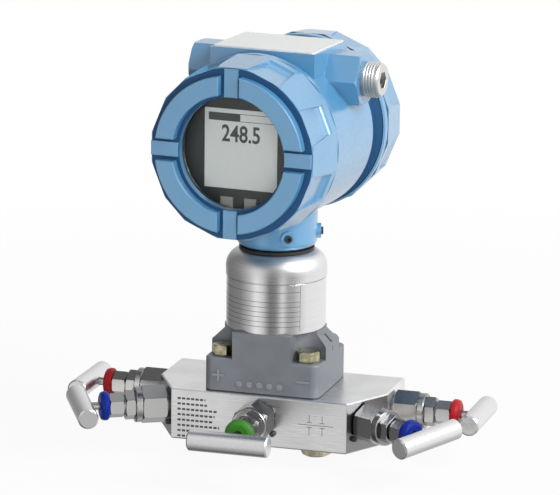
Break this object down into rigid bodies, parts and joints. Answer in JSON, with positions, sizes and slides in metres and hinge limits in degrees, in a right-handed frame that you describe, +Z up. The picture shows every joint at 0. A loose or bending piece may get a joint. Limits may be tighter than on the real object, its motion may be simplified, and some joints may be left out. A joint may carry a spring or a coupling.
{
  "type": "pressure transmitter",
  "caption": "Differential pressure transmitter with a round display head on a five-valve manifold block.",
  "frame": {"origin": "on the underside of the manifold block, on the axis of the sensor module", "axes": "+Z up along the sensor module, -Y towards the equaliser valve at the front, +X to the right of the display"},
  "size_m": [0.2652, 0.1794, 0.2573],
  "materials": {
    "stainless": "bright machined stainless steel",
    "module_steel": "brushed stainless steel",
    "flange_metal": "grey cast, satin",
    "bolt_metal": "yellow passivated steel",
    "housing_paint": "blue coat on aluminium, semi gloss",
    "red_plastic": "moulded red",
    "blue_plastic": "moulded blue",
    "green_plastic": "moulded green",
    "black_rubber": "moulded",
    "white_packing": "pressed",
    "black_plastic": "moulded",
    "button_plastic": "moulded",
    "screen_glass": "reflective liquid crystal",
    "window": "clear",
    "plate_paint": "white, satin",
    "dark_steel": "black oxide",
    "board_green": "coated board",
    "terminal_brass": "plated"
  },
  "bodies": {
    "base": {"manifold_block": "stainless", "process_port_plugs": "stainless", "process_flange": "flange_metal", "flange_bolts": "bolt_metal", "flange_seals": "white_packing", "sensor_module": "module_steel", "neck_seal": "black_rubber", "bonnet_lock_pins": "dark_steel", "bonnet_lock_nuts": "stainless", "gland_nuts": "stainless", "stem_packings": "white_packing", "equalise_bonnet": "stainless", "isolate_left_bonnet": "stainless", "isolate_right_bonnet": "stainless", "vent_left_bonnet": "stainless", "vent_right_bonnet": "stainless", "equalise_cap": "green_plastic", "isolate_left_cap": "blue_plastic", "isolate_right_cap": "blue_plastic", "vent_left_cap": "red_plastic", "vent_right_cap": "red_plastic"},
    "equalise_tip": {"equalise_tip": "stainless"},
    "equalise_handle": {"equalise_stem": "stainless", "equalise_handle": "stainless"},
    "isolate_left_tip": {"isolate_left_tip": "stainless"},
    "isolate_left_handle": {"isolate_left_stem": "stainless", "isolate_left_handle": "stainless"},
    "isolate_right_tip": {"isolate_right_tip": "stainless"},
    "isolate_right_handle": {"isolate_right_stem": "stainless", "isolate_right_handle": "stainless"},
    "vent_left_tip": {"vent_left_tip": "stainless"},
    "vent_left_handle": {"vent_left_stem": "stainless", "vent_left_handle": "stainless"},
    "vent_right_tip": {"vent_right_tip": "stainless"},
    "vent_right_handle": {"vent_right_stem": "stainless", "vent_right_handle": "stainless"},
    "head": {"electronics_housing": "housing_paint", "top_plate": "plate_paint", "conduit_plug": "stainless", "neck_set_screws": "dark_steel", "display_module": "black_plastic", "display_screen": "screen_glass", "display_posts": "stainless", "electronics_board": "board_green", "terminal_block": "black_plastic", "terminal_screws": "terminal_brass"},
    "front_cover_thread": {"front_seal": "black_rubber"},
    "front_cover": {"front_cover": "housing_paint", "window_glass": "window", "window_retainer": "stainless"},
    "rear_cover_thread": {"rear_seal": "black_rubber"},
    "rear_cover": {"rear_cover": "housing_paint"},
    "display_button_left": {"display_button_left": "button_plastic"},
    "display_button_right": {"display_button_right": "button_plastic"}
  },
  "joints": [
    {"name": "equalise_rise", "type": "slide", "parent": "base", "child": "equalise_tip", "axis": [0, -1, 0], "range_m": [-0.0075, 0]},
    {"name": "equalise_turn", "type": "hinge", "parent": "equalise_tip", "child": "equalise_handle", "pos_m": [0, -0.0349, 0.0182], "axis": [0, -1, 0], "range_deg": [-1800, 0]},
    {"name": "isolate_left_rise", "type": "slide", "parent": "base", "child": "isolate_left_tip", "axis": [-0.8777, -0.4792, 0], "range_m": [0, 0.0075]},
    {"name": "isolate_left_turn", "type": "hinge", "parent": "isolate_left_tip", "child": "isolate_left_handle", "pos_m": [-0.06331, -0.02152, 0.0182], "axis": [-0.8777, -0.4792, 0], "range_deg": [0, 1800]},
    {"name": "isolate_right_rise", "type": "slide", "parent": "base", "child": "isolate_right_tip", "axis": [0.8777, -0.4792, 0], "range_m": [0, 0.0075]},
    {"name": "isolate_right_turn", "type": "hinge", "parent": "isolate_right_tip", "child": "isolate_right_handle", "pos_m": [0.06331, -0.02152, 0.0182], "axis": [0.8777, -0.4792, 0], "range_deg": [0, 1800]},
    {"name": "vent_left_rise", "type": "slide", "parent": "base", "child": "vent_left_tip", "axis": [-1, 0, 0], "range_m": [0, 0.0075]},
    {"name": "vent_left_turn", "type": "hinge", "parent": "vent_left_tip", "child": "vent_left_handle", "pos_m": [-0.0732, 0.0138, 0.0182], "axis": [-1, 0, 0], "range_deg": [0, 1800]},
    {"name": "vent_right_rise", "type": "slide", "parent": "base", "child": "vent_right_tip", "axis": [1, 0, 0], "range_m": [0, 0.0075]},
    {"name": "vent_right_turn", "type": "hinge", "parent": "vent_right_tip", "child": "vent_right_handle", "pos_m": [0.0732, 0.0138, 0.0182], "axis": [1, 0, 0], "range_deg": [0, 1800]},
    {"name": "head_swivel", "type": "hinge", "parent": "base", "child": "head", "pos_m": [0, 0, 0.1185], "axis": [0, 0, 1], "range_deg": [-180, 180]},
    {"name": "front_cover_travel", "type": "slide", "parent": "head", "child": "front_cover_thread", "axis": [-0.0976, -0.9952, 0], "range_m": [0, 0.009]},
    {"name": "front_cover_turn", "type": "hinge", "parent": "front_cover_thread", "child": "front_cover", "pos_m": [0, 0, 0.1894], "axis": [-0.0976, -0.9952, 0], "range_deg": [0, 2160]},
    {"name": "rear_cover_travel", "type": "slide", "parent": "head", "child": "rear_cover_thread", "axis": [0.0976, 0.9952, 0], "range_m": [0, 0.009]},
    {"name": "rear_cover_turn", "type": "hinge", "parent": "rear_cover_thread", "child": "rear_cover", "pos_m": [0, 0, 0.1894], "axis": [0.0976, 0.9952, 0], "range_deg": [0, 2160]},
    {"name": "button_left_press", "type": "slide", "parent": "head", "child": "display_button_left", "axis": [0.0976, 0.9952, 0], "range_m": [0, 0.001], "stiffness_N_per_m": 300},
    {"name": "button_right_press", "type": "slide", "parent": "head", "child": "display_button_right", "axis": [0.0976, 0.9952, 0], "range_m": [0, 0.001], "stiffness_N_per_m": 300}
  ],
  "couplings": [
    {"joint": "equalise_rise", "follows": "equalise_turn", "m_per_rad": 0.00023873},
    {"joint": "isolate_left_rise", "follows": "isolate_left_turn", "m_per_rad": 0.00023873},
    {"joint": "isolate_right_rise", "follows": "isolate_right_turn", "m_per_rad": 0.00023873},
    {"joint": "vent_left_rise", "follows": "vent_left_turn", "m_per_rad": 0.00023873},
    {"joint": "vent_right_rise", "follows": "vent_right_turn", "m_per_rad": 0.00023873},
    {"joint": "front_cover_travel", "follows": "front_cover_turn", "m_per_rad": 0.00023873},
    {"joint": "rear_cover_travel", "follows": "rear_cover_turn", "m_per_rad": 0.00023873}
  ]
}
